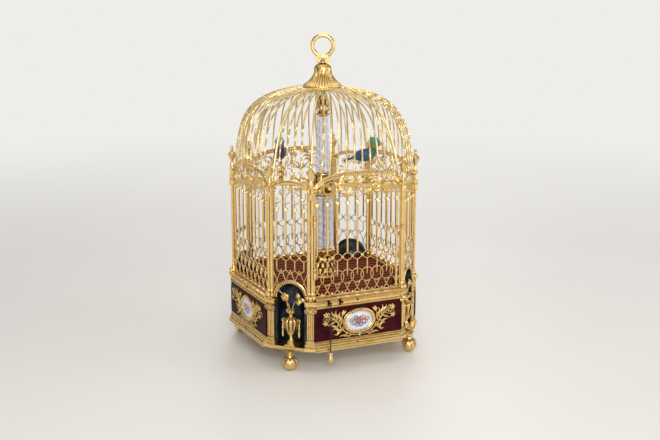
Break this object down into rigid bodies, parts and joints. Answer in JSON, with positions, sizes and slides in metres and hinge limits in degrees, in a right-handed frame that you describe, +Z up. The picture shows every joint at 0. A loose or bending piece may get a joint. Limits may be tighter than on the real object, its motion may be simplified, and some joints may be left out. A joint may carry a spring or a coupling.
{
  "type": "birdcage automaton clock",
  "caption": "Gilt octagonal birdcage automaton with a wired dome, pierced grilles, a hinged door, singing birds, a turning glass fountain and a clock dial under its enamelled plinth.",
  "frame": {"origin": "centre of the cage's plan, at the underside of the ball feet", "axes": "+Z up through the hanging ring, -Y towards the door, +X to the right when facing the door"},
  "size_m": [0.2772, 0.284, 0.5116],
  "materials": {
    "gilt": "fire-gilt, chased",
    "gilt_shade": "matt gilt movement",
    "steel": "blued",
    "maroon_enamel": "deep translucent enamel",
    "niche_blue": "dark blue lacquer",
    "porcelain": "painted enamel",
    "floor_red": "wine-red lacquer",
    "glass": "twisted clear rods",
    "indigo_feather": "feathered",
    "teal_feather": "feathered",
    "beak_coral": "coral lacquer",
    "bellows_leather": "kid skin",
    "silk_green": "twisted silk"
  },
  "bodies": {
    "cage": {"plinth_frame": "gilt", "cage_floor": "floor_red", "niche_front_left": "niche_blue", "niche_front_right": "niche_blue", "niche_back_left": "niche_blue", "niche_back_right": "niche_blue", "panel_front": "maroon_enamel", "panel_right": "maroon_enamel", "panel_back": "maroon_enamel", "panel_left": "maroon_enamel", "medallion_front": "porcelain", "medallion_right": "porcelain", "medallion_back": "porcelain", "medallion_left": "porcelain", "urn_foot_front_left": "gilt", "urn_foot_front_right": "gilt", "urn_foot_back_left": "gilt", "urn_foot_back_right": "gilt", "dial_plate": "porcelain", "dial_bezel": "gilt", "movement_frame": "gilt_shade", "corner_bay_front_left": "gilt", "corner_bay_front_right": "gilt", "corner_bay_back_left": "gilt", "corner_bay_back_right": "gilt", "grille_right": "gilt", "grille_back": "gilt", "grille_left": "gilt", "hinge_rod": "gilt", "dome_cage": "gilt", "crown": "gilt", "beam": "gilt", "fountain_rock": "gilt", "fountain_basin": "gilt", "fountain_capital": "gilt", "perch_left": "gilt", "perch_right": "gilt"},
    "ring": {"hanging_ring": "gilt"},
    "door": {"door_grille": "gilt"},
    "latch": {"latch_bolt": "gilt"},
    "lower_fountain": {"lower_jets": "glass"},
    "upper_fountain": {"upper_jets": "glass"},
    "hour": {"hour_hand": "steel"},
    "minute": {"minute_hand": "steel"},
    "barrel": {"spring_barrel": "gilt_shade"},
    "fly": {"regulator_fly": "steel"},
    "bellows_lid": {"bellows": "bellows_leather"},
    "song_pull": {"song_lever": "gilt_shade", "pull_cord": "silk_green", "cord_pull": "gilt"},
    "repeat_pull": {"repeat_lever": "gilt_shade"},
    "left_bird": {"bird_body_left": "indigo_feather"},
    "left_head": {"bird_head_left": "indigo_feather"},
    "left_beak": {"bird_beak_left": "beak_coral"},
    "left_tail": {"bird_tail_left": "indigo_feather"},
    "right_bird": {"bird_body_right": "teal_feather"},
    "right_head": {"bird_head_right": "teal_feather"},
    "right_beak": {"bird_beak_right": "beak_coral"},
    "right_tail": {"bird_tail_right": "teal_feather"}
  },
  "joints": [
    {"name": "ring_swivel", "type": "hinge", "parent": "cage", "child": "ring", "pos_m": [0, 0, 0.4646], "axis": [0, 0, 1], "continuous": true},
    {"name": "door_hinge", "type": "hinge", "parent": "cage", "child": "door", "pos_m": [-0.07455, -0.1307, 0.217], "axis": [0, 0, -1], "range_deg": [0, 100]},
    {"name": "latch_slide", "type": "slide", "parent": "door", "child": "latch", "axis": [1, 0, 0], "range_m": [0, 0.0055]},
    {"name": "lower_fountain_spin", "type": "hinge", "parent": "cage", "child": "lower_fountain", "pos_m": [0, 0, 0.206], "axis": [0, 0, 1], "continuous": true},
    {"name": "upper_fountain_spin", "type": "hinge", "parent": "cage", "child": "upper_fountain", "pos_m": [0, 0, 0.334], "axis": [0, 0, 1], "continuous": true},
    {"name": "hour_turn", "type": "hinge", "parent": "cage", "child": "hour", "pos_m": [0, 0, 0.0347], "axis": [0, 0, 1], "continuous": true},
    {"name": "minute_turn", "type": "hinge", "parent": "cage", "child": "minute", "pos_m": [0, 0, 0.0334], "axis": [0, 0, 1], "continuous": true},
    {"name": "barrel_spin", "type": "hinge", "parent": "cage", "child": "barrel", "pos_m": [0.028, 0, 0.0651], "axis": [0, 0, 1], "continuous": true},
    {"name": "fly_spin", "type": "hinge", "parent": "cage", "child": "fly", "pos_m": [-0.034, 0, 0.0651], "axis": [0, 0, 1], "continuous": true},
    {"name": "bellows_hinge", "type": "hinge", "parent": "cage", "child": "bellows_lid", "pos_m": [0, 0.026, 0.0909], "axis": [1, 0, 0], "range_deg": [0, 8]},
    {"name": "song_pull_slide", "type": "slide", "parent": "cage", "child": "song_pull", "axis": [0, 0, -1], "range_m": [0, 0.004], "stiffness_N_per_m": 60, "springref_m": -0.002},
    {"name": "repeat_pull_slide", "type": "slide", "parent": "cage", "child": "repeat_pull", "axis": [0, 0, -1], "range_m": [0, 0.004], "stiffness_N_per_m": 40, "springref_m": -0.002},
    {"name": "left_bird_turn", "type": "hinge", "parent": "cage", "child": "left_bird", "pos_m": [-0.05902, 0.03708, 0.31444], "axis": [0, 0, 1], "range_deg": [-30, 30]},
    {"name": "left_head_turn", "type": "hinge", "parent": "left_bird", "child": "left_head", "pos_m": [-0.06463, 0.02652, 0.3351], "axis": [0, 0, 1], "range_deg": [-35, 35]},
    {"name": "left_beak_open", "type": "hinge", "parent": "left_head", "child": "left_beak", "pos_m": [-0.067, 0.02206, 0.33342], "axis": [0.8829, -0.4695, 0], "range_deg": [0, 12]},
    {"name": "left_tail_wag", "type": "hinge", "parent": "left_bird", "child": "left_tail", "pos_m": [-0.05082, 0.0525, 0.30764], "axis": [0.8829, -0.4695, 0], "range_deg": [0, 12]},
    {"name": "right_bird_turn", "type": "hinge", "parent": "cage", "child": "right_bird", "pos_m": [0.05902, -0.03708, 0.31444], "axis": [0, 0, 1], "range_deg": [-30, 30]},
    {"name": "right_head_turn", "type": "hinge", "parent": "right_bird", "child": "right_head", "pos_m": [0.06986, -0.04214, 0.3351], "axis": [0, 0, 1], "range_deg": [-35, 35]},
    {"name": "right_beak_open", "type": "hinge", "parent": "right_head", "child": "right_beak", "pos_m": [0.07443, -0.04427, 0.33342], "axis": [0.4226, 0.9063, 0], "range_deg": [0, 12]},
    {"name": "right_tail_wag", "type": "hinge", "parent": "right_bird", "child": "right_tail", "pos_m": [0.04319, -0.0297, 0.30764], "axis": [0.4226, 0.9063, 0], "range_deg": [0, 12]}
  ],
  "couplings": [
    {"joint": "upper_fountain_spin", "follows": "lower_fountain_spin", "ratio": 1},
    {"joint": "hour_turn", "follows": "minute_turn", "ratio": 0.083333},
    {"joint": "fly_spin", "follows": "barrel_spin", "ratio": -8},
    {"joint": "left_beak_open", "follows": "left_tail_wag", "ratio": 1},
    {"joint": "right_beak_open", "follows": "right_tail_wag", "ratio": 1}
  ]
}
